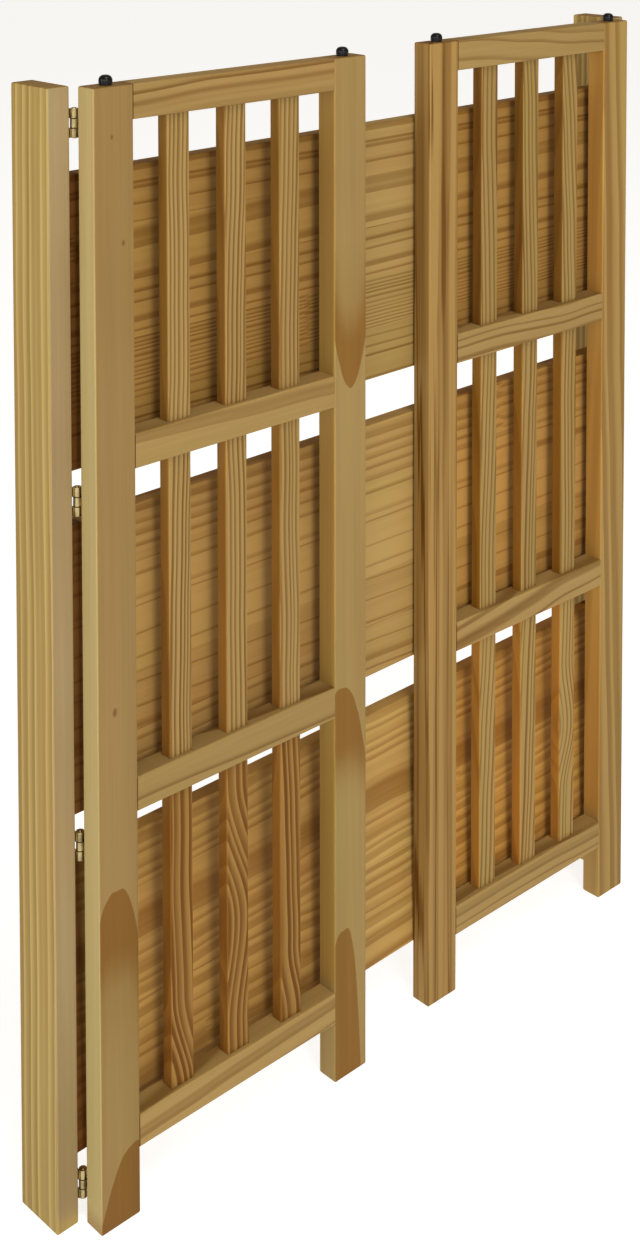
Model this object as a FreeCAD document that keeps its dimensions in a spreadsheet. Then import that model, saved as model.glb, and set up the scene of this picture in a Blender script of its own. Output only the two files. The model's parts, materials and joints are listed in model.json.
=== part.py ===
import FreeCAD, Part
import math
import os
import Sketcher

# Folding bookcase: two posts and three cross rails at the back, a slatted leaf on four butt hinges
# at each post, and three shelves that turn on pins between the posts. It is modelled folded flat:
# leaves swung in across the front, shelves upright behind them. Z is up, -Y is the front.

V = FreeCAD.Vector
doc = FreeCAD.newDocument("FoldingBookcase")

# ---------------------------------------------------------------------------------------------
# Driving dimensions, in millimetres and degrees
# ---------------------------------------------------------------------------------------------
SIZES = [
    ("overall_width", 705, "outside of one post to outside of the other"),
    ("overall_height", 880, "floor to the tops of the posts and stiles"),
    ("post_thick", 20, "post, across the bookcase"),
    ("post_deep", 47.5, "post, front to back"),
    ("board_round", 1.5, "rounding of board edges, and of the ends of posts and stiles"),
    ("leaf_wide", 282, "hinge edge to free edge of a leaf"),
    ("leaf_thick", 20, "stiles and rails of a leaf"),
    ("stile_wide", 37, "both stiles of a leaf"),
    ("rail_high", 27, "rails of a leaf"),
    ("rail_first", 52, "floor to the bottom rail"),
    ("tenon_long", 12.5, "rail tenons into the stiles"),
    ("tenon_thick", 8, "rail tenons"),
    ("tenon_high", 19, "rail tenons"),
    ("joint_play", 0.1, "all round each tenon and housed slat end"),
    ("glue_room", 0.6, "past the end of each tenon and slat"),
    ("slat_wide", 22.5, "slat face"),
    ("slat_thick", 11.5, "slat"),
    ("slat_back", 4.4, "leaf back face to slat back face"),
    ("slat_first", 71.5, "hinge edge of the leaf to the first slat"),
    ("slat_pitch", 57.75, "one slat to the next"),
    ("slat_housed", 7, "slat end inside a rail"),
    ("hinge_offset", 3.9, "hinge axis to post face and to leaf back"),
    ("hinge_reach", 4.2, "post face to hinge edge of the folded leaf"),
    ("hinge_high", 22, "butt hinge, along its pin"),
    ("plate_thick", 1.2, "hinge plate"),
    ("plate_wide", 20, "hinge plate, from the pin axis"),
    ("barrel_rad", 3.2, "hinge knuckles"),
    ("pin_rad", 1.5, "hinge pin"),
    ("pin_play", 0.05, "round the hinge pin in the leaf's knuckle"),
    ("knuckle_gap", 0.3, "between one knuckle and the next"),
    ("hinge_from_top", 28, "top of the post to the centre of the highest hinge"),
    ("hinge_under_rail", 21.5, "foot of a rail to the centre of the hinge below it"),
    ("screw_head_rad", 2.4, "countersunk head"),
    ("screw_cross", 2.6, "cross recess, tip to tip"),
    ("screw_slot", 0.7, "cross recess, width of one arm"),
    ("screw_rad", 1.3, "screw shank"),
    ("screw_long", 12, "whole screw"),
    ("screw_pitch", 14, "between the two screws of a plate"),
    ("screw_in", 13.5, "pin axis to the screws"),
    ("screw_play", 0.05, "round the shank in the wood"),
    ("shelf_thick", 15, "shelf"),
    ("shelf_deep", 226, "shelf, front edge to rear edge"),
    ("shelf_end_gap", 1.5, "between a shelf end and the post"),
    ("shelf_front", 4.5, "post front to the face of a stowed shelf"),
    ("pivot_rad", 3, "shelf pivot pin"),
    ("pivot_play", 0.07, "round the pin in the shelf"),
    ("pivot_in_post", 10, "pin inside the post"),
    ("pivot_in_shelf", 20, "pin inside the shelf"),
    ("back_rail_front", 22, "post front to the face of a back rail"),
    ("back_rail_thick", 18, "back rail"),
    ("back_rail_high", 50, "back rail"),
    ("back_rail_lift", 0.5, "top of a lowered shelf to the back rail over it"),
    ("back_tenon", 10, "back rail tenon into a post"),
    ("peg_rad", 5.3, "stacking peg, widest band"),
    ("peg_neck", 4.8, "stacking peg, neck above the stile"),
    ("peg_neck_high", 1.4, "stacking peg, neck above the stile"),
    ("peg_high", 7.6, "stacking peg above the stile"),
    ("peg_dome", 4, "rounding of the stacking peg's top"),
    ("peg_shank", 4, "shank radius of the stacking peg"),
    ("peg_in", 14, "shank inside the stile"),
    ("socket_rad", 6, "blind socket in the foot of each stile"),
    ("socket_deep", 11, "blind socket in the foot of each stile"),
    ("left_ajar", 1.0, "left leaf stands this far open, degrees"),
    ("right_ajar", -1.4, "right leaf is pushed in this far, degrees"),
    ("bottom_lean", 2.2, "lowest shelf leans back against its back rail, degrees"),
]
sheet = doc.addObject("Spreadsheet::Sheet", "Sizes")
for row, (alias, value, note) in enumerate(SIZES, 1):
    sheet.set("A%d" % row, alias)
    sheet.set("B%d" % row, str(value))
    sheet.set("C%d" % row, note)
    sheet.setAlias("B%d" % row, alias)
doc.recompute()


# the rails are evenly spaced between the bottom one and the one flush with the stile tops
PITCH = "((overall_height - rail_high - rail_first) / 3)"
HINGES = {
    "highest": "(overall_height - hinge_from_top)",
    "upper": "(rail_first + 2 * " + PITCH + " - hinge_under_rail)",
    "lower": "(rail_first + " + PITCH + " - hinge_under_rail)",
    "lowest": "(rail_first - hinge_under_rail)",
}


def mm(alias):
    return float(sheet.get(alias))


def cell(text):
    """The expression with each alias written as the sheet's cell."""
    words = [alias for alias, _, _ in SIZES]
    for alias in sorted(words, key=len, reverse=True):
        text = text.replace(alias, "<<%d>>" % words.index(alias))
    for index, alias in enumerate(words):
        text = text.replace("<<%d>>" % index, "Sizes." + alias)
    return text


def origin_plane(body, role):
    return [feature for feature in body.Origin.OriginFeatures if feature.Role == role][0]


def new_body(label):
    body = doc.addObject("PartDesign::Body", label)
    body.Label = label
    return body


def sketch_on(body, role, lift="0"):
    """An empty sketch on one of the body's own planes, lifted along the plane's normal."""
    sketch = body.newObject("Sketcher::SketchObject", body.Label + "_sketch")
    sketch.AttachmentSupport = [(origin_plane(body, role), "")]
    sketch.MapMode = "FlatFace"
    sketch.setExpression("AttachmentOffset.Base.z", cell(lift))
    return sketch


def rectangle(sketch, left, low, wide, high):
    """A fully dimensioned rectangle; the four arguments are expressions of the sheet."""
    first = sketch.GeometryCount
    corners = [V(1, 1, 0), V(9, 1, 0), V(9, 8, 0), V(1, 8, 0)]
    for index in range(4):
        sketch.addGeometry(Part.LineSegment(corners[index], corners[(index + 1) % 4]), False)
    for index in range(4):
        after = first + (index + 1) % 4
        sketch.addConstraint(Sketcher.Constraint("Coincident", first + index, 2, after, 1))
    for index, kind in enumerate(("Horizontal", "Vertical", "Horizontal", "Vertical")):
        sketch.addConstraint(Sketcher.Constraint(kind, first + index))
    driven = [
        ("DistanceX", (first, 1, first, 2), wide, 8),
        ("DistanceY", (first + 1, 1, first + 1, 2), high, 7),
        ("DistanceX", (-1, 1, first, 1), left, 1),
        ("DistanceY", (-1, 1, first, 1), low, 1),
    ]
    for kind, ends, size, start in driven:
        number = sketch.addConstraint(Sketcher.Constraint(kind, *ends, start))
        sketch.setExpression("Constraints[%d]" % number, cell(size))


def circle(sketch, across, up, radius):
    """A fully dimensioned circle; the three arguments are expressions of the sheet."""
    first = sketch.GeometryCount
    sketch.addGeometry(Part.Circle(V(5, 5, 0), V(0, 0, 1), 1), False)
    driven = [
        ("Radius", (first,), radius, 1),
        ("DistanceX", (-1, 1, first, 3), across, 5),
        ("DistanceY", (-1, 1, first, 3), up, 5),
    ]
    for kind, ends, size, start in driven:
        number = sketch.addConstraint(Sketcher.Constraint(kind, *ends, start))
        sketch.setExpression("Constraints[%d]" % number, cell(size))


def pad(body, sketch, length):
    feature = body.newObject("PartDesign::Pad", body.Label + "_pad")
    feature.Profile = sketch
    feature.setExpression("Length", cell(length))
    body.Tip = feature
    doc.recompute()
    return feature


def pocket(body, sketch, depth, along_normal):
    """A pocket that runs along the sketch normal, or against it."""
    before = body.Shape.Volume
    feature = body.newObject("PartDesign::Pocket", body.Label + "_pocket")
    feature.Profile = sketch
    feature.setExpression("Length", cell(depth))
    feature.Reversed = along_normal
    body.Tip = feature
    doc.recompute()
    if not body.Shape.Volume < before - 0.5:
        raise RuntimeError(body.Label + ": the pocket takes nothing away")
    return feature


def repeat(body, feature, sketch, axis, length, count):
    """The feature repeated along a sketch axis; length is first to last."""
    pattern = body.newObject("PartDesign::LinearPattern", body.Label + "_repeat")
    pattern.Originals = [feature]
    pattern.Direction = (sketch, [axis])
    pattern.setExpression("Length", cell(length))
    pattern.Occurrences = count
    body.Tip = pattern
    doc.recompute()
    return pattern


def round_edges(body, feature, direction=None):
    """The edges that run in one direction rounded, or every edge, ends as well."""
    names = []
    for number, edge in enumerate(feature.Shape.Edges, 1):
        if direction is None:
            names.append("Edge%d" % number)
        elif isinstance(edge.Curve, Part.Line) and abs(edge.Curve.Direction.dot(direction)) > 0.999:
            names.append("Edge%d" % number)
    rounding = body.newObject("PartDesign::Fillet", body.Label + "_rounded")
    rounding.Base = (feature, names)
    rounding.setExpression("Radius", cell("board_round"))
    body.Tip = rounding
    doc.recompute()
    return rounding


def turned(angle):
    return FreeCAD.Rotation(V(0, 0, 1), angle)


# ---------------------------------------------------------------------------------------------
# Where things stand: X from the middle, Y from the middle of the folded depth
# ---------------------------------------------------------------------------------------------
half_wide = mm("overall_width") / 2
post_inner = half_wide - mm("post_thick")
free_end = mm("leaf_wide") + mm("hinge_reach") - mm("hinge_offset")
front_face = mm("hinge_offset") + mm("leaf_thick")
ajar = math.radians(mm("left_ajar"))
leaf_front = -(
    (front_face - mm("board_round")) * math.cos(ajar)
    + (free_end - mm("board_round")) * math.sin(ajar)
    + mm("board_round")
)
pin_behind_front = mm("hinge_offset") - mm("hinge_reach")
y_front = -(mm("post_deep") + pin_behind_front + leaf_front) / 2
y_hinge = y_front + pin_behind_front
x_hinge = post_inner - mm("hinge_offset")
rail_pitch = (mm("overall_height") - mm("rail_high") - mm("rail_first")) / 3
rail_heights = [mm("rail_first") + rail_pitch * level for level in range(4)]
hinge_heights = [height - mm("hinge_under_rail") for height in rail_heights[:3]]
hinge_heights.append(mm("overall_height") - mm("hinge_from_top"))

# ---------------------------------------------------------------------------------------------
# Posts: blind pivot holes, mortises for the back rails and screw holes on the inner face
# ---------------------------------------------------------------------------------------------
PIVOT_UP = "rail_first + rail_high + shelf_thick / 2"
BACK_RAIL_UP = "rail_first + rail_high + shelf_thick + back_rail_lift"
BACK_TENON_UP = "(" + BACK_RAIL_UP + " + back_rail_high / 2 - tenon_high / 2 - joint_play)"


def make_post(label):
    body = new_body(label)
    outline = sketch_on(body, "XY_Plane")
    rectangle(outline, "0", "0", "post_thick", "post_deep")
    solid = pad(body, outline, "overall_height")
    round_edges(body, solid)
    # pivot holes for the shelf pins, one at each shelf
    holes = sketch_on(body, "YZ_Plane", "post_thick")
    circle(holes, "shelf_front + shelf_thick / 2", PIVOT_UP, "pivot_rad + 0.01")
    drilled = pocket(body, holes, "pivot_in_post + 0.2", False)
    repeat(body, drilled, holes, "V_Axis", "2 * " + PITCH, 3)
    # mortises for the back rails
    slots = sketch_on(body, "YZ_Plane", "post_thick")
    low = "back_rail_front + back_rail_thick / 2 - tenon_thick / 2 - joint_play"
    rectangle(slots, low, BACK_TENON_UP, "tenon_thick + 2 * joint_play", "tenon_high + 2 * joint_play")
    cut = pocket(body, slots, "back_tenon + glue_room", False)
    repeat(body, cut, slots, "V_Axis", "2 * " + PITCH, 3)
    # pilot holes for the hinge screws
    pilots = sketch_on(body, "YZ_Plane", "post_thick")
    across = "screw_in + hinge_offset - hinge_reach"
    for height in HINGES.values():
        circle(pilots, across, height + " - screw_pitch / 2", "screw_rad + screw_play")
        circle(pilots, across, height + " + screw_pitch / 2", "screw_rad + screw_play")
    pocket(body, pilots, "screw_long - plate_thick + 0.4", False)
    return body


left_post = make_post("left_post")
left_post.Placement = FreeCAD.Placement(V(-half_wide, y_front, 0), FreeCAD.Rotation())

# the right post is the left one's mirror image, so its working face looks the other way
right_post_body = make_post("right_post_blank")
right_post = doc.addObject("Part::Mirroring", "right_post")
right_post.Source = right_post_body
right_post.Normal = V(1, 0, 0)
right_post.Placement = FreeCAD.Placement(V(half_wide, y_front, 0), FreeCAD.Rotation())

# ---------------------------------------------------------------------------------------------
# Back rails: tenoned between the posts behind each stowed shelf
# ---------------------------------------------------------------------------------------------
back_rails = []
for level, label in enumerate(("back_rail_bottom", "back_rail_middle", "back_rail_top")):
    body = new_body(label)
    outline = sketch_on(body, "YZ_Plane")
    rectangle(outline, "0", "0", "back_rail_thick", "back_rail_high")
    solid = pad(body, outline, "overall_width - 2 * post_thick")
    round_edges(body, solid, V(1, 0, 0))
    tongue = sketch_on(body, "YZ_Plane", "-back_tenon")
    rectangle(tongue, "back_rail_thick / 2 - tenon_thick / 2", "back_rail_high / 2 - tenon_high / 2",
              "tenon_thick", "tenon_high")
    pad(body, tongue, "overall_width - 2 * post_thick + 2 * back_tenon")
    up = rail_heights[level] + mm("rail_high") + mm("shelf_thick") + mm("back_rail_lift")
    body.Placement = FreeCAD.Placement(V(-post_inner, y_front + mm("back_rail_front"), up),
                                       FreeCAD.Rotation())
    back_rails.append(body)

# ---------------------------------------------------------------------------------------------
# Shelves: one board each, stowed upright, with a blind pivot hole in each end
# ---------------------------------------------------------------------------------------------
SHELF_LONG = "overall_width - 2 * post_thick - 2 * shelf_end_gap"
PIVOT_IN_SHELF_UP = "rail_high + shelf_thick / 2"
y_pivot = y_front + mm("shelf_front") + mm("shelf_thick") / 2
pivot_up = [height + mm("rail_high") + mm("shelf_thick") / 2 for height in rail_heights[:3]]
shelves = []
for level, label in enumerate(("shelf_bottom", "shelf_middle", "shelf_top")):
    body = new_body(label)
    outline = sketch_on(body, "YZ_Plane")
    rectangle(outline, "0", "0", "shelf_thick", "shelf_deep")
    solid = pad(body, outline, SHELF_LONG)
    round_edges(body, solid, V(1, 0, 0))
    for lift, inward in (("0", True), (SHELF_LONG, False)):
        hole = sketch_on(body, "YZ_Plane", lift)
        circle(hole, "shelf_thick / 2", PIVOT_IN_SHELF_UP, "pivot_rad + pivot_play")
        pocket(body, hole, "pivot_in_shelf", inward)
    upright = FreeCAD.Placement(
        V(-post_inner + mm("shelf_end_gap"), y_front + mm("shelf_front"), rail_heights[level]),
        FreeCAD.Rotation())
    if level == 0:
        lean = FreeCAD.Rotation(V(1, 0, 0), -mm("bottom_lean"))
        about_pins = FreeCAD.Placement(V(0, 0, 0), lean, V(0, y_pivot, pivot_up[level]))
        upright = about_pins.multiply(upright)
    body.Placement = upright
    shelves.append(body)

# steel pivot pins, pressed into the posts and a running fit in the shelves
pivot_pin = new_body("shelf_pin_pattern")
pin_round = sketch_on(pivot_pin, "YZ_Plane", "-pivot_in_post")
circle(pin_round, "0", "0", "pivot_rad")
pad(pivot_pin, pin_round, "pivot_in_post + shelf_end_gap + pivot_in_shelf - 0.5")


def group(label, pattern, places):
    """Identical loose pieces as one node: one link to the pattern for each place."""
    links = []
    for number, place in enumerate(places, 1):
        link = doc.addObject("App::Link", "%s_%d" % (label, number))
        link.LinkedObject = pattern
        link.LinkTransform = False
        link.Placement = place
        links.append(link)
    compound = doc.addObject("Part::Compound", label)
    compound.Label = label
    compound.Links = links
    return compound


shelf_pins = []
for level, label in enumerate(("shelf_pins_bottom", "shelf_pins_middle", "shelf_pins_top")):
    places = [
        FreeCAD.Placement(V(-post_inner, y_pivot, pivot_up[level]), FreeCAD.Rotation()),
        FreeCAD.Placement(V(post_inner, y_pivot, pivot_up[level]), turned(180)),
    ]
    shelf_pins.append(group(label, pivot_pin, places))

# ---------------------------------------------------------------------------------------------
# Butt hinges: patterns centred on the pin axis, with the plate along +X and its face towards +Y
# ---------------------------------------------------------------------------------------------
KNUCKLE = "(hinge_high / 3 - knuckle_gap / 2)"
MIDDLE_LOW = "-hinge_high / 6 + knuckle_gap / 2"


def make_plate(label, outer_knuckles):
    """A hinge half: the plate's fixing face is hinge_offset from the pin axis, towards -Y."""
    body = new_body(label)
    flat = sketch_on(body, "XZ_Plane", "hinge_offset - plate_thick")
    rectangle(flat, "0", "-hinge_high / 2", "plate_wide", "hinge_high")
    pad(body, flat, "plate_thick")
    # the plate is cut back where the other half's knuckles turn
    relief = sketch_on(body, "XZ_Plane", "hinge_offset - plate_thick - 1")
    if outer_knuckles:
        rectangle(relief, "-1", "-hinge_high / 6 - knuckle_gap / 2", "barrel_rad + 1.5",
                  "hinge_high / 3 + knuckle_gap")
    else:
        rectangle(relief, "-1", "-hinge_high / 2 - 1", "barrel_rad + 1.5",
                  "hinge_high / 3 + 1 + knuckle_gap / 2")
        rectangle(relief, "-1", "hinge_high / 6 - knuckle_gap / 2", "barrel_rad + 1.5",
                  "hinge_high / 3 + 1 + knuckle_gap / 2")
    pocket(body, relief, "plate_thick + 2", True)
    # knuckles
    if outer_knuckles:
        spans = [("-hinge_high / 2", "hinge_high / 3 - knuckle_gap / 2"),
                 ("hinge_high / 6 + knuckle_gap / 2", "hinge_high / 3 - knuckle_gap / 2")]
        bore = "pin_rad"
    else:
        spans = [("-hinge_high / 6 + knuckle_gap / 2", "hinge_high / 3 - knuckle_gap")]
        bore = "pin_rad + pin_play"
    for low, tall in spans:
        ring = sketch_on(body, "XY_Plane", low)
        circle(ring, "0", "0", "barrel_rad")
        pad(body, ring, tall)
    hole = sketch_on(body, "XY_Plane", "hinge_high / 2 + 1")
    circle(hole, "0", "0", bore)
    pocket(body, hole, "hinge_high + 2", False)
    # countersunk screw holes
    seats = sketch_on(body, "XZ_Plane", "hinge_offset - plate_thick")
    circle(seats, "screw_in", "-screw_pitch / 2", "screw_head_rad + 0.1")
    circle(seats, "screw_in", "screw_pitch / 2", "screw_head_rad + 0.1")
    pocket(body, seats, "plate_thick", True)
    return body


post_plate = make_plate("post_plate_pattern", True)
leaf_plate = make_plate("leaf_plate_pattern", False)

hinge_pin = new_body("hinge_pin_pattern")
pin_round = sketch_on(hinge_pin, "XY_Plane", "-hinge_high / 2 - 0.6")
circle(pin_round, "0", "0", "pin_rad - 0.01")
pad(hinge_pin, pin_round, "hinge_high + 1.2")

# screw: head flush with the plate, shank along -Y from the fixing face
screw = new_body("screw_pattern")
head = sketch_on(screw, "XZ_Plane", "0")
circle(head, "0", "0", "screw_head_rad")
pad(screw, head, "plate_thick")
shank = sketch_on(screw, "XZ_Plane", "plate_thick")
circle(shank, "0", "0", "screw_rad")
pad(screw, shank, "screw_long - plate_thick")
for wide, high in (("screw_cross", "screw_slot"), ("screw_slot", "screw_cross")):
    arm = sketch_on(screw, "XZ_Plane", "0")
    rectangle(arm, "-" + wide + " / 2", "-" + high + " / 2", wide, high)
    pocket(screw, arm, "plate_thick / 2", True)


def hinge_row(x, turn):
    return [FreeCAD.Placement(V(x, y_hinge, height), turned(turn)) for height in hinge_heights]


def screw_row(rows):
    """Two screws for each hinge half, standing on the outer face of its plate."""
    places = []
    for row in rows:
        for side in (-1, 1):
            spot = V(mm("screw_in"), -mm("hinge_offset") + mm("plate_thick"), side * mm("screw_pitch") / 2)
            places.append(row.multiply(FreeCAD.Placement(spot, FreeCAD.Rotation())))
    return places


# On the left post the plate runs back from the pin with its fixing face towards -X; turned by
# 90 degrees the pattern's +X points back and its -Y points to +X, so the left side uses the
# pattern's mirror image and the right side the pattern itself.
def mirrored(label, source):
    copy = doc.addObject("Part::Mirroring", label)
    copy.Source = source
    copy.Normal = V(0, 1, 0)
    return copy


post_plate_left = mirrored("post_plate_left_pattern", post_plate)
leaf_plate_right = mirrored("leaf_plate_right_pattern", leaf_plate)
screw_left = mirrored("screw_left_pattern", screw)
doc.recompute()


def mirrored_screw_row(rows):
    places = []
    for row in rows:
        for side in (-1, 1):
            spot = V(mm("screw_in"), mm("hinge_offset") - mm("plate_thick"), side * mm("screw_pitch") / 2)
            places.append(row.multiply(FreeCAD.Placement(spot, FreeCAD.Rotation())))
    return places


left_rows = hinge_row(-x_hinge, 90)
right_rows = hinge_row(x_hinge, 90)
left_post_hinge_plates = group("left_post_hinge_plates", post_plate_left, left_rows)
right_post_hinge_plates = group("right_post_hinge_plates", post_plate, right_rows)
left_post_hinge_screws = group("left_post_hinge_screws", screw_left, mirrored_screw_row(left_rows))
right_post_hinge_screws = group("right_post_hinge_screws", screw, screw_row(right_rows))
left_hinge_pins = group("left_hinge_pins", hinge_pin, hinge_row(-x_hinge, 0))
right_hinge_pins = group("right_hinge_pins", hinge_pin, hinge_row(x_hinge, 0))

# stacking peg: shank in the stile, a short neck, a wide band and a domed top
peg = new_body("peg_pattern")
for low, radius, tall in (("-peg_in", "peg_shank", "peg_in"), ("0", "peg_neck", "peg_neck_high"),
                          ("peg_neck_high", "peg_rad", "peg_high - peg_neck_high")):
    ring = sketch_on(peg, "XY_Plane", low)
    circle(ring, "0", "0", radius)
    band = pad(peg, ring, tall)
crown = [
    "Edge%d" % number
    for number, edge in enumerate(band.Shape.Edges, 1)
    if isinstance(edge.Curve, Part.Circle) and edge.Curve.Center.z > mm("peg_high") - 0.01
]
dome = peg.newObject("PartDesign::Fillet", "peg_dome")
dome.Base = (band, crown)
dome.setExpression("Radius", cell("peg_dome"))
peg.Tip = dome
doc.recompute()

# ---------------------------------------------------------------------------------------------
# Leaves: two stiles, four tenoned rails and nine housed slats
# ---------------------------------------------------------------------------------------------
RAIL_LONG = "leaf_wide - 2 * stile_wide"
TENON_IN = "leaf_thick / 2 - tenon_thick / 2"


def make_stile(label, mortise_side, screws):
    """A stile with its mortises on one edge; X across the leaf, Y from front face to back face."""
    body = new_body(label)
    outline = sketch_on(body, "XY_Plane")
    rectangle(outline, "0", "0", "stile_wide", "leaf_thick")
    solid = pad(body, outline, "overall_height")
    round_edges(body, solid)
    lift = "stile_wide" if mortise_side > 0 else "0"
    slots = sketch_on(body, "YZ_Plane", lift)
    rectangle(slots, TENON_IN + " - joint_play", "rail_first + rail_high / 2 - tenon_high / 2 - joint_play",
              "tenon_thick + 2 * joint_play", "tenon_high + 2 * joint_play")
    cut = pocket(body, slots, "tenon_long + glue_room", mortise_side < 0)
    repeat(body, cut, slots, "V_Axis", "3 * " + PITCH, 4)
    # peg hole in the top and stacking socket in the foot, both in the middle of the section
    top = sketch_on(body, "XY_Plane", "overall_height")
    circle(top, "stile_wide / 2", "leaf_thick / 2", "peg_shank + 0.02")
    pocket(body, top, "peg_in + 0.5", False)
    foot = sketch_on(body, "XY_Plane")
    circle(foot, "stile_wide / 2", "leaf_thick / 2", "socket_rad")
    pocket(body, foot, "socket_deep", True)
    if screws:
        # pilot holes in the back face, the +Y one; XZ sketches look towards -Y
        pilots = sketch_on(body, "XZ_Plane", "-leaf_thick")
        across = "screw_in - hinge_reach + hinge_offset"
        if mortise_side < 0:
            across = "stile_wide - (" + across + ")"
        for height in HINGES.values():
            circle(pilots, across, height + " - screw_pitch / 2", "screw_rad + screw_play")
            circle(pilots, across, height + " + screw_pitch / 2", "screw_rad + screw_play")
        pocket(body, pilots, "screw_long - plate_thick + 0.4", True)
    return body


def make_rail(label, slats_above, slats_below, flip):
    """A rail with a tenon at each end and the housings of the slats that meet it."""
    body = new_body(label)
    outline = sketch_on(body, "YZ_Plane")
    rectangle(outline, "0", "0", "leaf_thick", "rail_high")
    solid = pad(body, outline, RAIL_LONG)
    round_edges(body, solid, V(1, 0, 0))
    tongue = sketch_on(body, "YZ_Plane", "-tenon_long")
    rectangle(tongue, TENON_IN, "rail_high / 2 - tenon_high / 2", "tenon_thick", "tenon_high")
    pad(body, tongue, RAIL_LONG + " + 2 * tenon_long")
    first = "slat_first - stile_wide - joint_play"
    if flip:
        first = RAIL_LONG + " - (slat_first - stile_wide) - 2 * slat_pitch - slat_wide - joint_play"
    for wanted, lift, inward in ((slats_above, "rail_high", False), (slats_below, "0", True)):
        if wanted:
            slots = sketch_on(body, "XY_Plane", lift)
            rectangle(slots, first, "leaf_thick - slat_back - slat_thick - joint_play",
                      "slat_wide + 2 * joint_play", "slat_thick + 2 * joint_play")
            cut = pocket(body, slots, "slat_housed + glue_room", inward)
            repeat(body, cut, slots, "H_Axis", "2 * slat_pitch", 3)
    return body


def make_slat(label):
    body = new_body(label)
    outline = sketch_on(body, "XY_Plane")
    rectangle(outline, "0", "0", "slat_wide", "slat_thick")
    solid = pad(body, outline, PITCH + " - rail_high + 2 * slat_housed")
    round_edges(body, solid, V(0, 0, 1))
    return body


def make_leaf(side):
    """All the pieces of one leaf; side is -1 for the left one and 1 for the right one."""
    name = "left" if side < 0 else "right"
    turn = -mm("left_ajar") if side < 0 else mm("right_ajar")
    axis = FreeCAD.Placement(V(side * x_hinge, y_hinge, 0), turned(turn))

    def at(across, wide, from_back, thick, up):
        """The place of a piece: across from the hinge edge, from_back from the leaf's back face."""
        along = across + mm("hinge_reach") - mm("hinge_offset")
        x = along if side < 0 else -(along + wide)
        y = -(mm("hinge_offset") + from_back + thick)
        return axis.multiply(FreeCAD.Placement(V(x, y, up), FreeCAD.Rotation()))

    pieces = []
    wide, thick = mm("stile_wide"), mm("leaf_thick")
    towards = 1 if side < 0 else -1
    hinge_stile = make_stile(name + "_hinge_stile", towards, True)
    hinge_stile.Placement = at(0, wide, 0, thick, 0)
    front_stile = make_stile(name + "_front_stile", -towards, False)
    front_stile.Placement = at(mm("leaf_wide") - wide, wide, 0, thick, 0)
    pieces += [hinge_stile, front_stile]
    between = mm("leaf_wide") - 2 * wide
    for level, word in enumerate(("bottom", "lower", "upper", "top")):
        rail = make_rail("%s_rail_%s" % (name, word), level < 3, level > 0, side > 0)
        rail.Placement = at(wide, between, 0, thick, rail_heights[level])
        pieces.append(rail)
    for bay in range(3):
        for number in range(3):
            slat = make_slat("%s_slat_%d_%d" % (name, 3 - bay, number + 1))
            foot = rail_heights[bay] + mm("rail_high") - mm("slat_housed")
            slat.Placement = at(mm("slat_first") + number * mm("slat_pitch"), mm("slat_wide"),
                                mm("slat_back"), mm("slat_thick"), foot)
            pieces.append(slat)
    rows = [axis.multiply(FreeCAD.Placement(V(0, 0, height), turned(0 if side < 0 else 180)))
            for height in hinge_heights]
    if side < 0:
        pieces.append(group(name + "_leaf_hinge_plates", leaf_plate, rows))
        pieces.append(group(name + "_leaf_hinge_screws", screw, screw_row(rows)))
    else:
        pieces.append(group(name + "_leaf_hinge_plates", leaf_plate_right, rows))
        pieces.append(group(name + "_leaf_hinge_screws", screw_left, mirrored_screw_row(rows)))
    pegs = [at(across + wide / 2, 0, thick / 2, 0, mm("overall_height"))
            for across in (0, mm("leaf_wide") - wide)]
    pieces.append(group(name + "_stacking_pegs", peg, pegs))
    return pieces


left_leaf = make_leaf(-1)
right_leaf = make_leaf(1)
doc.recompute()

# ---------------------------------------------------------------------------------------------
# Check and write every sub-part
# ---------------------------------------------------------------------------------------------
nodes = [left_post, right_post] + back_rails + shelves + shelf_pins + left_leaf + right_leaf
nodes += [left_post_hinge_plates, right_post_hinge_plates, left_post_hinge_screws,
          right_post_hinge_screws, left_hinge_pins, right_hinge_pins]
for item in doc.Objects:
    if "Invalid" in item.State or "Error" in item.State:
        raise RuntimeError(item.Label + " did not recompute")
os.makedirs("parts", exist_ok=True)
for node in nodes:
    shape = node.Shape
    if shape.isNull() or not shape.isValid() or not shape.Solids:
        raise RuntimeError(node.Label + " has no sound shape")
    shape.exportStep("parts/%s.step" % node.Label)
print(len(nodes), "sub-parts written")
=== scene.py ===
import json
import math

import bpy
from mathutils import Matrix, Vector


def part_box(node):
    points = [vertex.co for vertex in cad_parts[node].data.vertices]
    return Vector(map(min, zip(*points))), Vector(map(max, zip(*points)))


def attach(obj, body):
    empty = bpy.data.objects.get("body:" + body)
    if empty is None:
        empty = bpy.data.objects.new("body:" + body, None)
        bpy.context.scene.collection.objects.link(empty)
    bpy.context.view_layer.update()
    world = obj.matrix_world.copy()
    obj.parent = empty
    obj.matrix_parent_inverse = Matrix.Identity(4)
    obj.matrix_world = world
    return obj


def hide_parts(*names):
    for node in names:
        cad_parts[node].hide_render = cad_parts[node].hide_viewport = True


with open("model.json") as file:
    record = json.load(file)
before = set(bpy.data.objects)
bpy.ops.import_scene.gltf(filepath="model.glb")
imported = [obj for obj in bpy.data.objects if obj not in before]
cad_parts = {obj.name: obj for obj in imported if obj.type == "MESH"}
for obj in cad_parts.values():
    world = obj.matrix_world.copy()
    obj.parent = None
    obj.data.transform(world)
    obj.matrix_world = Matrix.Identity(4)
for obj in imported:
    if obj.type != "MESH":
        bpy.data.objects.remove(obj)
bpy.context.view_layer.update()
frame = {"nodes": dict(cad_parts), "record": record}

# Studio: a pale floor, three soft windows of light from the left side round to the front, one more
# from above, and a camera off the front left corner, a little higher than the folded bookcase.
yaw, pitch, roll = math.radians(44.0648), math.radians(-2.9451), math.radians(-0.0723)
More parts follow.
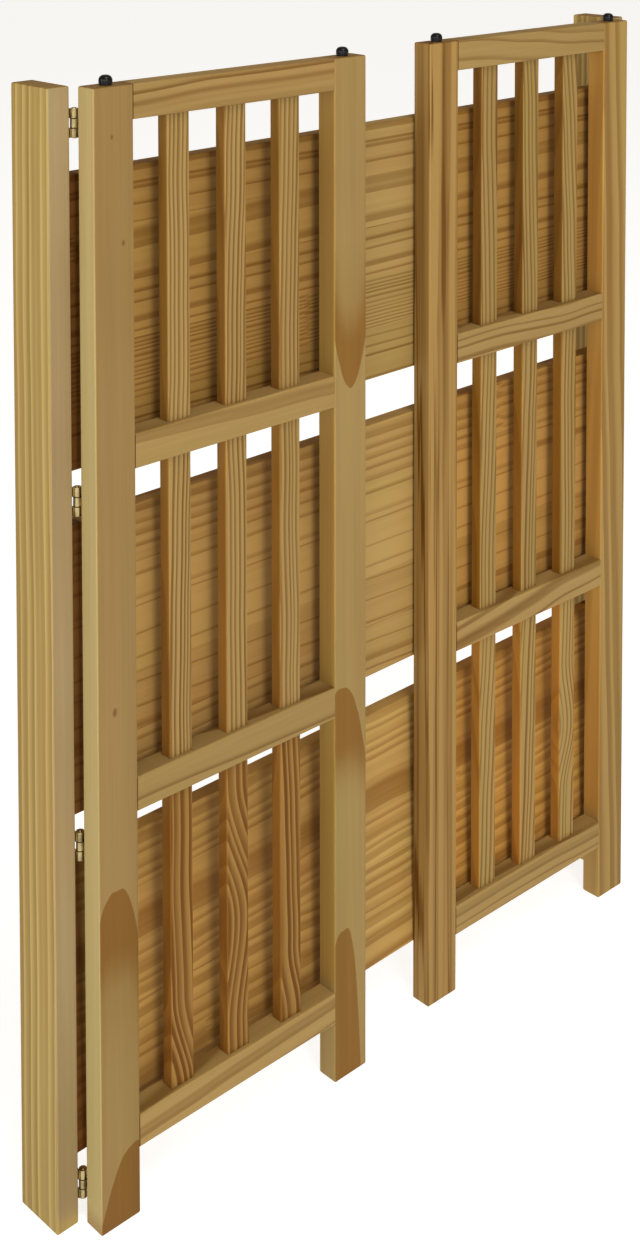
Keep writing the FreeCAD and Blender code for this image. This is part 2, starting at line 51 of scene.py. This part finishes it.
ahead = Vector((math.sin(yaw) * math.cos(pitch), math.cos(yaw) * math.cos(pitch), math.sin(pitch)))
level = Vector((math.cos(yaw), -math.sin(yaw), 0))
upward = level.cross(ahead)
across = math.cos(roll) * level + math.sin(roll) * upward
upward = math.cos(roll) * upward - math.sin(roll) * level
camera = bpy.data.objects.new("camera", bpy.data.cameras.new("camera"))
camera.matrix_world = Matrix.Translation((-1.12228, -1.09365, 1.07439)) @ Matrix(
    (across, upward, -ahead)).transposed().to_4x4()
camera.data.sensor_fit = "VERTICAL"
camera.data.sensor_height = 36
camera.data.lens = 51.853
camera.data.shift_y = -0.56702
camera.data.clip_start = 0.05
bpy.context.scene.collection.objects.link(camera)
bpy.context.scene.camera = camera
bpy.context.scene.view_settings.view_transform = "Standard"
bpy.context.scene.view_settings.gamma = 0.92

half_floor = 30
floor_mesh = bpy.data.meshes.new("floor")
floor_mesh.from_pydata([(-half_floor, -half_floor, 0), (half_floor, -half_floor, 0),
                        (half_floor, half_floor, 0), (-half_floor, half_floor, 0)], [], [(0, 1, 2, 3)])
floor = bpy.data.objects.new("floor", floor_mesh)
bpy.context.scene.collection.objects.link(floor)
floor_paint = bpy.data.materials.new("floor_paint")
floor_paint.use_nodes = True
floor_shader = floor_paint.node_tree.nodes["Principled BSDF"]
floor_shader.inputs["Base Color"].default_value = (0.45, 0.47, 0.50, 1)
floor_shader.inputs["Roughness"].default_value = 1.0
floor_shader.inputs["Emission Color"].default_value = (1, 1, 1, 1)
floor_shader.inputs["Emission Strength"].default_value = 0.78
floor_mesh.materials.append(floor_paint)

# the room is brighter towards its far right corner, where it lights the boards from behind
sky = bpy.data.worlds.new("studio")
sky.use_nodes = True
tree = sky.node_tree
facing = tree.nodes.new("ShaderNodeVectorMath")
facing.operation = "DOT_PRODUCT"
facing.inputs[1].default_value = (0.69, 0.72, 0)
tree.links.new(tree.nodes.new("ShaderNodeTexCoord").outputs["Generated"], facing.inputs[0])
fall = tree.nodes.new("ShaderNodeMapRange")
fall.interpolation_type = "SMOOTHSTEP"
fall.inputs["From Min"].default_value = -0.2
fall.inputs["From Max"].default_value = 0.75
fall.inputs["To Min"].default_value = 0.16
fall.inputs["To Max"].default_value = 0.55
tree.links.new(facing.outputs["Value"], fall.inputs["Value"])
tree.links.new(fall.outputs["Result"], tree.nodes["Background"].inputs["Strength"])
tree.nodes["Background"].inputs["Color"].default_value = (1, 0.87, 0.68, 1)
bpy.context.scene.world = sky
lit_point = Vector((0, 0, 0.4))
for name, lamp_place, size, power in (
    ("window_left", (-3.3, 0.35, 1.3), 1.4, 32),
    ("window_corner", (-3.1, -1.8, 1.3), 1.2, 24),
    ("window_front", (-1.35, -3.3, 1.7), 1.2, 46),
    ("ceiling", (-0.5, -1.7, 3.7), 1.8, 62),
):
    lamp = bpy.data.objects.new(name, bpy.data.lights.new(name, "AREA"))
    lamp.data.size = size
    lamp.data.energy = power
    lamp.data.color = (1.0, 0.985, 0.95)
    lamp.location = lamp_place
    lamp.rotation_euler = (lit_point - lamp.location).to_track_quat("-Z", "Y").to_euler()
    bpy.context.scene.collection.objects.link(lamp)


# Posts: two planed pine uprights, sawn so that the rings run as broad straight stripes up their
# sides, under a clear satin lacquer.
class Shade:
    """One socket of a node tree. Sums on it add the Math nodes."""

    def __init__(self, socket):
        self.socket = socket

    def node(self, kind, settings, values, output=0):
        """A new node in the same tree: its settings first, then the values or links of its sockets."""
        tree = self.socket.id_data
        made = tree.nodes.new(kind)
        for name, value in settings.items():
            setattr(made, name, value)
        for name, value in values.items():
            if isinstance(value, Shade):
                tree.links.new(value.socket, made.inputs[name])
            else:
                made.inputs[name].default_value = value
        return Shade(made.outputs[output])

    def into(self, socket):
        """Link this value to a socket of another node."""
        self.socket.id_data.links.new(self.socket, socket)

    def maths(self, operation, *others):
        """A Math node on this value, or on this value and others."""
        return self.node("ShaderNodeMath", {"operation": operation}, dict(enumerate((self, *others))))

    def __add__(self, other):
        return self.maths("ADD", other)

    def __sub__(self, other):
        return self.maths("SUBTRACT", other)

    def __rsub__(self, other):
        return self.maths("MULTIPLY", -1.0) + other

    def __mul__(self, other):
        return self.maths("MULTIPLY", other)

    def __truediv__(self, other):
        return self.maths("DIVIDE", other)

    def __pow__(self, other):
        return self.maths("POWER", other)

    def __abs__(self):
        return self.maths("ABSOLUTE")

    def __floor__(self):
        return self.maths("FLOOR")

    __radd__ = __add__
    __rmul__ = __mul__

    def step(self, low, high):
        """0 below low, 1 above high, smooth between."""
        return self.node("ShaderNodeMapRange", {"interpolation_type": "SMOOTHSTEP"},
                         {"Value": self, "From Min": low, "From Max": high})

    def parts(self):
        """The three parts of a vector or colour."""
        split = self.node("ShaderNodeSeparateXYZ", {}, {0: self}).socket.node
        return [Shade(output) for output in split.outputs]

    def vector(self, x, y, z):
        """A vector of three values, in the same tree."""
        return self.node("ShaderNodeCombineXYZ", {}, {"X": x, "Y": y, "Z": z})

    def noise(self, x, y, z, detail, output=0):
        """Cloudy noise at a point, in the same tree. Output 1 is three of them, as a colour."""
        return self.node("ShaderNodeTexNoise", {}, {"Vector": self.vector(x, y, z), "Scale": 1.0,
                                                    "Detail": detail, "Roughness": 0.5}, output)

    def between(self, low, high):
        """A colour that goes from low to high as this value goes from 0 to 1."""
        return self.node("ShaderNodeMix", {"data_type": "RGBA"}, {0: self, 6: (*low, 1), 7: (*high, 1)}, 2)

    def stained(self, amount, colour, blend="MULTIPLY"):
        """This colour, stained with another."""
        return self.node("ShaderNodeMix", {"data_type": "RGBA", "blend_type": blend},
                         {0: amount, 6: self, 7: (*colour, 1)}, 2)


def new_material(name):
    """A new material, its shader, the place of each point on the object, and the way its face looks."""
    material = bpy.data.materials.new(name)
    material.use_nodes = True
    coordinates = material.node_tree.nodes.new("ShaderNodeTexCoord").outputs
    shader = material.node_tree.nodes["Principled BSDF"]
    return material, shader, Shade(coordinates["Object"]), Shade(coordinates["Normal"])


def dress(node, material):
    """The CAD piece keeps its shape and takes the material."""
    mesh = frame["nodes"][node].data
    mesh.materials.clear()
    mesh.materials.append(material)


def glued_up(first, run, half_wide, staves, seed):
    """A board glued up from staves. Each stave comes from other logs, in pieces that are finger-jointed
    end to end. Gives each point's place in its own log, across and along, then the ring spacing,
    dark share and tone of its stave, and how far its finger joints are shifted along the board."""
    widest_ring = 0.05
    piece_length = 0.8
    finger = 0.0019
    row = math.floor((first + half_wide) / (2 * half_wide / len(staves)))
    ramp = first.node("ShaderNodeValToRGB", {}, {"Fac": (first + half_wide) / (2 * half_wide)})
    stops = ramp.socket.node.color_ramp
    stops.interpolation = "CONSTANT"
    for number, (spacing, dark_share, tone) in enumerate(staves):
        stop = stops.elements[0] if number == 0 else stops.elements.new(number / len(staves))
        stop.position = number / len(staves)
        stop.color = (spacing / widest_ring, dark_share, tone + 0.5, 1)
    stops.elements.remove(stops.elements[-1])
    spacing, dark_share, tone = ramp.parts()
    chance = first.node("ShaderNodeTexWhiteNoise", {"noise_dimensions": "1D"}, {"W": row + seed})
    teeth = first.maths("PINGPONG", finger) * 5
    piece = math.floor((run + chance * piece_length + teeth) / piece_length)
    luck = first.node("ShaderNodeTexWhiteNoise", {"noise_dimensions": "3D"},
                      {"Vector": first.vector(row, piece, seed)}, 1)
    sideways, lean, lengthways = luck.parts()
    lean = lean - 0.5
    return (first + sideways * 0.05 + run * lean * 0.05, run + lengthways * 3.0, spacing * widest_ring,
            dark_share, tone - 0.5 + lean * 0.22, (chance - 0.5) * 0.032 + teeth)


def tongue(depth, aside, half_wide, reach, blunt, rim, far):
    """How dark a tongue of heartwood is at some depth below its tip and some way from its middle."""
    outer = ((depth.maths("MAXIMUM", 0.0) / reach) ** blunt * half_wide - aside).step(-0.0003, 0.0010)
    deeper = (depth - rim).maths("MAXIMUM", 0.0)
    inner = ((deeper / reach) ** (blunt * 0.6) * half_wide - aside).step(-0.005, 0.011)
    inner = inner * deeper.step(0.0, 0.045)
    return outer * (1 - inner * 0.72) * (1 - depth.step(far * 0.4, far))


def pine(node, along, log, ring, seed, share=0.4, contrast=1.0, wander=0.0015, slope=0.0, tone=0.0,
         bright=1.0, tint=(1, 1), sawn_sides_and_painted_light=(), streaky=0.32, veins=0.0, bends=(), tongues=(), knots=(),
         staves=(), painted_bay_light=()):
    """Lacquered pine on one board, which keeps its shape. along is the grain's axis. log is where the
    middle of the log lies, across the board and through it. ring is the growth rings' spacing, share
    the dark part of each ring and contrast its strength. wander is how far the grain sways, slope
    its lean across the board for each metre of run, and bends (low, high, shift) are where it moves
    sideways between two heights. tone adds resin, bright and tint (green, blue) set how light the
    wood is and what colour it keeps, and streaky and veins are its wide and its thin streaks.
    the sides (axis, colour, lowest height) are faces with fainter rings that, above that height, take
    the colour as a painted light or painted shade. knots (along, across, size) start from the board's
    middle. tongues are heartwood, and staves belong to glued-up boards, whose two ends can take a
    painted warm light."""
    material, shader, place, normal = new_material(node + "_pine")
    low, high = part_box(node)
    middle = (low + high) / 2
    x, y, z = [part - offset for part, offset in zip(place.parts(), middle)]
    facing = dict(zip("XYZ", normal.parts()))
    run, first, second = (z, x, y) if along == "Z" else (x, z, y)
    along_face, across_face = run, first
    half_wide = (high.x - low.x if along == "Z" else high.z - low.z) / 2
    if staves:
        first, run, ring, share, stave_tone, joint = glued_up(first, run, half_wide, staves, seed)
        tone = stave_tone + tone

    # the growth rings, swaying along the board: late is the dark, late part of each year's ring
    drift = place.noise(first * 5, second * 5 + seed, run * 4.2, 2.0, 1)
    sway_across, sway_through, _ = [part - 0.5 for part in drift.parts()]
    from_log_across = first + sway_across * (wander * 5) + run * slope - log[0]
    from_log_through = second + sway_through * (wander * 5) - log[1]
    for bend_low, bend_high, shift in bends:
        from_log_across = from_log_across + z.step(bend_low - middle.z, bend_high - middle.z) * shift
    for knot_run, knot_first, size in knots:
        # the grain swells round a knot
        away = (run - knot_run) ** 2 * 0.10 + (first - knot_first) ** 2
        from_log_across = from_log_across + (1 - away.step(0, size * size * 9)) * size
    radius = (from_log_across * from_log_across + from_log_through * from_log_through) ** 0.5
    uneven = place.node("ShaderNodeTexNoise", {"noise_dimensions": "1D"},
                        {"W": radius * 55 + seed * 7, "Scale": 1.0, "Detail": 2.0})
    turn = (radius / ring + uneven * 1.5 + seed).maths("FRACT")
    late = turn.step(0.94 - 1.5 * share, 0.97 - 0.35 * share) * (1 - turn.step(0.95, 1.0))
    # the rings show fainter on the given sides: quarter-sawn against flat-sawn
    for axis, _, _ in sawn_sides_and_painted_light:
        late = late * (1 - abs(facing[axis]).step(0.4, 0.9) * 0.6)

    # finer and coarser streaks of resin over them, each with its own count in a metre, across and along
    fibre = place.noise(first * 620, second * 620, run * 8, 2.0)
    streak = place.noise(first * 110, second * 110 + seed, run * 1.1, 3.0)
    cloud = place.noise(first * 26, second * 26 + seed, run * 1.6, 3.0)
    if veins:
        # thin brown lines of resin that come and go
        vein = place.noise(first * 75, second * 75 + seed, run * 1.3, 3.0)
        comes = place.noise(first * 30, second * 30, run * 3.0 + seed, 2.0)
        tone = (1 - abs(vein - 0.5).step(0.008, 0.055)) * comes.step(0.40, 0.58) * veins + tone
    dark = (late * (0.45 + uneven * 0.8) * contrast * 0.8 + (fibre - 0.5) * 0.22
            + (streak - 0.5) * streaky + (cloud - 0.5) * 0.50 + tone + 0.10)
    sap = [bright * part for part in (0.400, 0.270 * tint[0], 0.100 * tint[1])]
    resin = [bright * part for part in (0.165, 0.076 * tint[0], 0.013 * tint[1])]
    wood = dark.between(sap, resin)

    # a rosy and a greenish cast come and go slowly along the board
    cast = place.noise(first * 14 + 3, second * 14, run * 2.2 + seed, 2.0)
    wood = wood.stained(cast.step(0.50, 0.72) * 0.5, (1.0, 0.90, 0.86))
    wood = wood.stained((1 - cast.step(0.30, 0.48)) * 0.5, (0.93, 0.99, 0.86))
    if painted_bay_light:
        # painted light: the two ends of each board, which stand behind the leaves, are tinted warmer and
        # mostly lighter, for the light there; each tint ends at the toothed line of a finger joint
        jointed = along_face + joint
        wood = wood.stained(1 - jointed.step(-0.0405, -0.0400), painted_bay_light[0])
        wood = wood.stained(jointed.step(0.0900, 0.0905), painted_bay_light[1])

    # painted highlight along the arrises of the broad faces, in patches, for rounded edges catching the
    # light
    painted_arris_highlight = (abs(across_face) - half_wide + 0.0013).step(0.0, 0.0006) * abs(facing["Y"]).step(0.5, 0.9)
    wood = wood.stained(painted_arris_highlight * cloud.step(0.30, 0.65) * 0.8, (1.30, 1.27, 1.18))
    ragged = (place.noise(across_face * 90, z * 22, seed, 2.0) - 0.5) * 0.007
    for tip, way, centre, *shape in tongues:
        # heartwood meets the front face in a tongue: a dark rim round its tip, paler inside it
        depth = (tip - middle.z) * way - z * way + ragged
        heartwood = tongue(depth, abs(across_face - centre), *shape)
        wood = wood.stained(heartwood * (facing["Y"] * -1).step(0.5, 0.9), (0.72, 0.53, 0.31))
    for knot_run, knot_first, size in knots:
        away = (along_face - knot_run) ** 2 * 0.35 + (across_face - knot_first) ** 2
        heart = 1 - away.step(size * size * 0.02, size * size * 0.2)
        wood = wood.stained(heart * 0.6, (0.13, 0.05, 0.016), "MIX")
    for axis, colour, foot in sawn_sides_and_painted_light:
        # painted light and painted shade: the faces across one axis are tinted lighter or darker above the
        # given height, for how those faces are lit
        above_foot = z.step(foot - middle.z, foot - middle.z + 0.02)
        wood = wood.stained(abs(facing[axis]).step(0.4, 0.9) * above_foot, colour)
    if staves:
        # painted shade: within about 13 mm of each end the boards are darkened, where the posts and the
        # hinge stiles shade them
        painted_end_shade = abs(along_face) - (high.x - low.x) / 2 + 0.013
        wood = wood.stained(painted_end_shade.step(0.0, 0.006), (0.40, 0.28, 0.20))
    # end grain drinks in the lacquer and goes darker
    wood = wood.stained(abs(facing[along]).step(0.6, 0.9) * 0.75, (0.62, 0.50, 0.38))

    wood.into(shader.inputs["Base Color"])
    (0.50 + fibre * 0.14 - late * 0.05).into(shader.inputs["Roughness"])
    shader.inputs["Specular IOR Level"].default_value = 0.06
    shader.inputs["Coat Weight"].default_value = 0.05
    shader.inputs["Coat Roughness"].default_value = 0.35
    relief = place.node("ShaderNodeBump", {}, {"Height": late * 0.5 + fibre * 0.5, "Strength": 0.3,
                                               "Distance": 0.0002})
    relief.into(shader.inputs["Normal"])
    dress(node, material)


# the front faces take a painted shade, darker and less yellow than the sides
for side, seed, bright in (("left", 3.1, 1.12), ("right", 8.4, 1.08)):
    pine(side + "_post", "Z", (0.0, 0.20), 0.0095, seed, share=0.62, contrast=0.75, bright=bright,
         tint=(1.11, 1.10), sawn_sides_and_painted_light=(("Y", (0.83, 0.84, 1.20), 0.0),))

# Back rails: plain sawn cross rails tenoned into the posts.
for seed, word in enumerate(("top", "middle", "bottom")):
    pine("back_rail_" + word, "X", (0.03, 0.05), 0.006, seed + 0.7)

# Shelves: boards glued up from five staves each, with the grain running across the bookcase.
# For each stave, from the lower edge up: its ring spacing, the dark share of a ring, and its tone.
# the two ends of each board, which stand behind the leaves, take a painted light, warmer and mostly lighter
pine("shelf_top", "X", (0.30, 0.03), 0.006, 1.2, contrast=0.75, bright=1.01, tint=(1.00, 0.98),
     painted_bay_light=((1.05, 0.93, 0.76), (1.08, 0.92, 0.72)),
     staves=((0.013, 0.20, 0.00), (0.0036, 0.40, 0.04), (0.0105, 0.30, 0.00), (0.030, 0.42, 0.04),
             (0.015, 0.30, 0.03)))
pine("shelf_middle", "X", (0.30, 0.03), 0.006, 3.5, contrast=0.65, slope=0.03, bright=1.13,
     tint=(0.99, 0.97), painted_bay_light=((1.09, 1.01, 0.94), (1.22, 1.05, 0.84)),
     staves=((0.015, 0.25, 0.02), (0.021, 0.15, -0.02), (0.018, 0.14, -0.05), (0.013, 0.26, 0.02),
             (0.0095, 0.40, 0.06)))
pine("shelf_bottom", "X", (0.30, 0.03), 0.006, 5.8, contrast=0.60, wander=0.006, bright=1.38,
     tint=(0.98, 0.90), painted_bay_light=((1.06, 0.98, 0.90), (1.22, 1.04, 0.80)),
     staves=((0.022, 0.45, 0.14), (0.0115, 0.50, 0.02), (0.0105, 0.55, 0.00), (0.036, 0.45, 0.12),
             (0.0100, 0.50, 0.05)))

# Leaf stiles: flat-sawn, nearly plain uprights. Tongues of dark heartwood run up from their feet.
# For each tongue: its tip's height, the way it fades, its middle, half width, length to that width,
# how blunt it is, the depth of its dark rim, and where it has faded out.
# where sides are given, the side faces across X take a painted light above the given height, lighter than
# the fronts
pine("left_hinge_stile", "Z", (0.0, 0.16), 0.0125, 5.3, contrast=0.22, bright=0.82, tint=(0.99, 1.05),
     streaky=0.25, sawn_sides_and_painted_light=(("X", (1.33, 1.58, 1.85), 0.0),),
     tongues=((0.2648, 1, -0.003, 0.0215, 0.047, 0.33, 0.040, 0.150),
              (0.0600, 1, 0.013, 0.0310, 0.050, 0.50, 0.100, 0.400)),
     knots=((-0.036, -0.003, 0.0060), (0.321, 0.008, 0.0040), (0.402, -0.002, 0.0034)))
pine("left_front_stile", "Z", (0.0, 0.16), 0.009, 1.7, contrast=0.25, bright=0.89, tint=(1.05, 1.10),
     streaky=0.25, sawn_sides_and_painted_light=(("X", (1.12, 1.00, 0.74), 0.075),),
     tongues=((0.5994, -1, 0.0, 0.0170, 0.036, 0.50, 0.034, 0.150),
              (0.3433, 1, -0.011, 0.0290, 0.070, 0.42, 0.050, 0.120),
              (0.1316, 1, -0.009, 0.0135, 0.030, 0.30, 0.200, 0.500)))
pine("right_front_stile", "Z", (0.10, 0.10), 0.014, 6.2, share=0.45, contrast=0.45, bright=0.90,
     tint=(0.93, 0.83), streaky=2.60, veins=0.85)
pine("right_hinge_stile", "Z", (0.10, 0.08), 0.012, 9.9, contrast=0.62, slope=0.035, bright=0.98,
     tint=(0.99, 0.92), sawn_sides_and_painted_light=(("X", (1.25, 1.06, 0.78), 0.075),))

# Leaf rails: short pieces tenoned into the stiles, flush with their faces, with long sloping grain.
for side, word, ring, share, contrast, slope, wander, seed, bright in (
    ("left", "top", 0.017, 0.42, 0.90, -0.02, 0.003, 0.35, 0.86),
    ("left", "upper", 0.030, 0.30, 0.50, 0.02, 0.003, 1.4, 0.88),
    ("left", "lower", 0.018, 0.26, 0.85, 0.04, 0.003, 2.4, 0.81),
    ("left", "bottom", 0.014, 0.32, 0.70, -0.03, 0.003, 3.4, 0.98),
    ("right", "top", 0.014, 0.40, 0.60, 0.05, 0.007, 5.4, 0.86),
    ("right", "upper", 0.0095, 0.30, 0.80, 0.01, 0.006, 6.4, 0.90),
    ("right", "lower", 0.016, 0.30, 0.80, -0.05, 0.008, 7.4, 0.96),
    ("right", "bottom", 0.009, 0.30, 0.70, 0.02, 0.003, 8.4, 0.94),
):
    pine("%s_rail_%s" % (side, word), "X", (0.20, 0.04), ring, seed, share=share, contrast=contrast,
         slope=slope, wander=wander, bright=bright)

# Slats: thin quarter-sawn strips with close straight lines. In the lowest left bay the grain is
# broad, brown and wavy, and the right-hand ones lean more. Their side faces take a painted shade,
# a different one in each bay.
close = {"ring": 0.0041, "share": 0.42, "contrast": 0.95, "wander": 0.0026}
open_grain = {"ring": 0.0052, "share": 0.36, "contrast": 0.92, "wander": 0.0026, "tint": (1, 0.93)}
wavy = {"ring": 0.0062, "share": 0.62, "contrast": 1.05, "wander": 0.0030, "tone": 0.12,
        "tint": (0.86, 0.67)}
bowed = {
    ("left", 3, 1): ((0.075, 0.150, 0.016),),
    ("left", 3, 2): ((0.10, 0.19, -0.012), (0.19, 0.30, 0.030)),
    ("left", 3, 3): ((0.08, 0.14, 0.010),),
    ("right", 3, 1): ((0.13, 0.19, -0.012), (0.19, 0.26, 0.012)),
}
for side, bay, grain, bright, painted_side_shade in (
    ("left", 1, close, 0.90, (0.88, 0.69, 0.41)),
    ("left", 2, close, 0.92, (0.98, 0.74, 0.44)),
    ("left", 3, wavy, 0.91, (1.03, 0.87, 0.65)),
    ("right", 1, open_grain, 0.85, (0.70, 0.50, 0.28)),
    ("right", 2, open_grain, 0.90, (0.88, 0.64, 0.31)),
    ("right", 3, open_grain, 0.97, (1.18, 0.86, 0.52)),
):
    for number in (1, 2, 3):
        seed = bay * 3.7 + number * 1.9 + (0 if side == "left" else 11)
        lean = (0.02 if side == "left" else 0.06) * math.sin(seed * 3.1)
        pine("%s_slat_%d_%d" % (side, bay, number), "Z", (0.15 - 0.02 * number, 0.03), seed=seed,
             slope=lean, bright=bright, bends=bowed.get((side, bay, number), ()),
             sawn_sides_and_painted_light=(("X", painted_side_shade, 0.0),), **grain)

# Butt hinges: brass halves rolled round a pin, polished once and gone dull. The joints between the
# knuckles are painted near black: painted shade in the gaps.
hinge_heights = (0.0305, 0.2975, 0.5645, 0.852)
half_knuckle = 0.00367
knuckle_radius = 0.0036
axes = {joint["name"]: Vector(joint["pos_m"]) for joint in frame["record"]["behaviour"]["joints"]}
right_axis = axes["right_leaf_hinge"]
brass, brass_shader, place, _ = new_material("hinge_brass")
x, y, z = place.parts()
dull = place.noise(x * 260, y * 260, z * 90, 4.0)
tarnish_and_joint_shade = dull.step(0.36, 0.82)
# the rolled barrel: everything within a knuckle's radius of the pin's axis
from_pin = ((abs(x) - right_axis.x) ** 2 + (y - right_axis.y) ** 2) ** 0.5
barrel = 1 - from_pin.step(knuckle_radius - 0.00006, knuckle_radius + 0.00007)
# painted shade: a thin dark band round the barrel at each joint between knuckles
for height in hinge_heights:
    from_joint = abs(abs(z - height) - half_knuckle)
    tarnish_and_joint_shade = tarnish_and_joint_shade.maths("MAXIMUM", (1 - from_joint.step(0.0002, 0.0007)) * barrel)
tarnish_and_joint_shade.between((0.52, 0.42, 0.22), (0.06, 0.040, 0.015)).into(brass_shader.inputs["Base Color"])
(0.14 + dull * 0.25).into(brass_shader.inputs["Roughness"])
brass_shader.inputs["Metallic"].default_value = 1.0
for side in ("left", "right"):
    for word in ("post_hinge_plates", "hinge_pins", "leaf_hinge_plates"):
        dress(side + "_" + word, brass)

# Hinge screws: countersunk brass wood screws with a cross recess and a cut thread, two through each
# hinge half, and each stopped at its own turn.
screw_sizes = {
    "Head Radius": 0.0024, "Head Depth": 0.0012, "Recess Span": 0.0026, "Recess Width": 0.0007,
    "Core Radius": 0.00095, "Shank Length": 0.0080, "Tip Length": 0.0028, "Thread Height": 0.0003,
    "Thread Pitch": 0.0011,
}
screws = bpy.data.node_groups.new("countersunk_screws", "GeometryNodeTree")
screws.interface.new_socket("Seats", in_out="INPUT", socket_type="NodeSocketGeometry")
keys = {name: screws.interface.new_socket(name, in_out="INPUT", socket_type="NodeSocketFloat").identifier
        for name in screw_sizes}
keys["Seed"] = screws.interface.new_socket("Seed", in_out="INPUT", socket_type="NodeSocketInt").identifier
screws.interface.new_socket("Screws", in_out="OUTPUT", socket_type="NodeSocketGeometry")
seats, head, depth, span, width, core, shank, tip, thread, pitch, seed = [
    Shade(output) for output in screws.nodes.new("NodeGroupInput").outputs[:11]]
facets = 14


def raised(shape, height):
    """The shape, moved along the screw's axis."""
    return shape.node("GeometryNodeTransform", {},
                      {"Geometry": shape, "Translation": shape.vector(0, 0, height)})


def cone(vertices, top, bottom, length, height):
    """A cone or a rod on the screw's axis, with its lower end at this height."""
    return raised(seats.node("GeometryNodeMeshCone", {}, {
        "Vertices": vertices, "Radius Top": top, "Radius Bottom": bottom, "Depth": length}), height)


screw_head = cone(2 * facets, head, core, depth, depth * -1)
for size in (seats.vector(span, width, depth), seats.vector(width, span, depth)):
    # the recess: two crossed bars are taken out of the head
    bar = seats.node("GeometryNodeMeshCube", {}, {"Size": size})
    screw_head = seats.node("GeometryNodeMeshBoolean", {"operation": "DIFFERENCE"}, {0: screw_head, 1: bar})
rod = cone(facets, core, core, shank, (depth + shank) * -1)
point = cone(facets, core, 0.0, tip, (depth + shank + tip) * -1)
winding = seats.node("GeometryNodeCurveSpiral", {}, {
    "Resolution": facets, "Rotations": shank / pitch, "Start Radius": core, "End Radius": core,
    "Height": shank})
ridge = seats.node("GeometryNodeCurvePrimitiveCircle", {}, {"Resolution": 3, "Radius": thread})
ridge = seats.node("GeometryNodeCurveToMesh", {}, {
    "Curve": winding, "Profile Curve": ridge, "Fill Caps": True})
whole = screws.nodes.new("GeometryNodeJoinGeometry")
for shape in (raised(ridge, (depth + shank) * -1), point, rod, screw_head):
    shape.into(whole.inputs[0])
outward = seats.node("GeometryNodeInputNamedAttribute", {"data_type": "FLOAT_VECTOR"}, {"Name": "outward"})
stance = seats.node("FunctionNodeAlignRotationToVector", {"axis": "Z"}, {"Vector": outward})
turn = seats.node("FunctionNodeRandomValue", {"data_type": "FLOAT"}, {2: 0.0, 3: math.pi, "Seed": seed}, 1)
turn = seats.node("FunctionNodeEulerToRotation", {}, {0: seats.vector(0, 0, turn)})
stance = seats.node("FunctionNodeRotateRotation", {"rotation_space": "LOCAL"}, {0: stance, 1: turn})
seated = seats.node("GeometryNodeInstanceOnPoints", {}, {
    "Points": seats, "Instance": Shade(whole.outputs[0]), "Rotation": stance})
seated = seats.node("GeometryNodeRealizeInstances", {}, {0: seated})
seated = seats.node("GeometryNodeSetMaterial", {}, {"Geometry": seated, "Material": brass})
seated.into(screws.nodes.new("NodeGroupOutput").inputs[0])

# where the screws sit: this far from the hinge's axis along each half, on the half's outer face, and
# this far above and below its middle. The left leaf rests a little open, the right one pressed in.
screw_row = 0.0135
leaf_face, post_face = 0.0027, 0.3313
half_pitch = 0.007
post_seats, leaf_seats = [], {}
for side, sign, ajar in (("left", 1, 1.0), ("right", -1, 1.4)):
    axis = axes[side + "_leaf_hinge"]
    off_leaf = Vector((math.sin(math.radians(ajar)), math.cos(math.radians(ajar)), 0))
    along_leaf = Vector((off_leaf.y, -off_leaf.x, 0)) * sign
    on_leaf = axis + along_leaf * screw_row - off_leaf * leaf_face
    leaf_seats[side] = []
    for height in hinge_heights:
        for above in (-half_pitch, half_pitch):
            leaf_seats[side].append(((on_leaf.x, on_leaf.y, height + above), off_leaf))
            post_seats.append(((-sign * post_face, axis.y + screw_row, height + above), (sign, 0, 0)))
for name, body, nodes, seat_list, luck in (
    ("post_screws", "back_frame", ("left_post_hinge_screws", "right_post_hinge_screws"), post_seats, 3),
    ("left_leaf_screws", "left_leaf", ("left_leaf_hinge_screws",), leaf_seats["left"], 5),
    ("right_leaf_screws", "right_leaf", ("right_leaf_hinge_screws",), leaf_seats["right"], 8),
):
    seat_mesh = bpy.data.meshes.new(name + "_seats")
    seat_mesh.from_pydata([seat for seat, way in seat_list], [], [])
    ways = seat_mesh.attributes.new("outward", "FLOAT_VECTOR", "POINT")
    for item, (seat, way) in zip(ways.data, seat_list):
        item.vector = way
    piece = bpy.data.objects.new(name, seat_mesh)
    bpy.context.scene.collection.objects.link(piece)
    modifier = piece.modifiers.new("screws", "NODES")
    modifier.node_group = screws
    for word, size in screw_sizes.items():
        modifier[keys[word]] = size
    modifier[keys["Seed"]] = luck
    graph = bpy.context.evaluated_depsgraph_get()
    piece_mesh = bpy.data.meshes.new_from_object(piece.evaluated_get(graph))
    piece.modifiers.remove(modifier)
    piece.data = piece_mesh
    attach(piece, body)
    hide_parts(*nodes)

# Shelf pins: plain steel pins that the shelves turn on, drawn lengthways.
steel, steel_shader, place, _ = new_material("pin_steel")
x, y, z = place.parts()
drawn = place.noise(x * 60, y * 900, z * 900, 3.0)
drawn.step(0.3, 0.7).between((0.60, 0.60, 0.61), (0.42, 0.42, 0.43)).into(steel_shader.inputs["Base Color"])
(0.28 + drawn * 0.2).into(steel_shader.inputs["Roughness"])
steel_shader.inputs["Metallic"].default_value = 1.0
for word in ("top", "middle", "bottom"):
    dress("shelf_pins_" + word, steel)

# Stacking pegs: turned black plastic pegs pushed into the stile tops, scuffed by the bookcase that
# stood on them.
plastic, plastic_shader, place, _ = new_material("peg_plastic")
x, y, z = place.parts()
scuff = place.noise(x * 700, y * 700, z * 500, 4.0)
black = scuff.step(0.55, 0.75).between((0.004, 0.004, 0.0045), (0.016, 0.016, 0.016))
black.into(plastic_shader.inputs["Base Color"])
(0.20 + scuff * 0.25).into(plastic_shader.inputs["Roughness"])
plastic_shader.inputs["Specular IOR Level"].default_value = 0.3
scratches = place.node("ShaderNodeBump", {}, {"Height": scuff, "Strength": 0.15, "Distance": 0.0001})
scratches.into(plastic_shader.inputs["Normal"])
for side in ("left", "right"):
    dress(side + "_stacking_pegs", plastic)
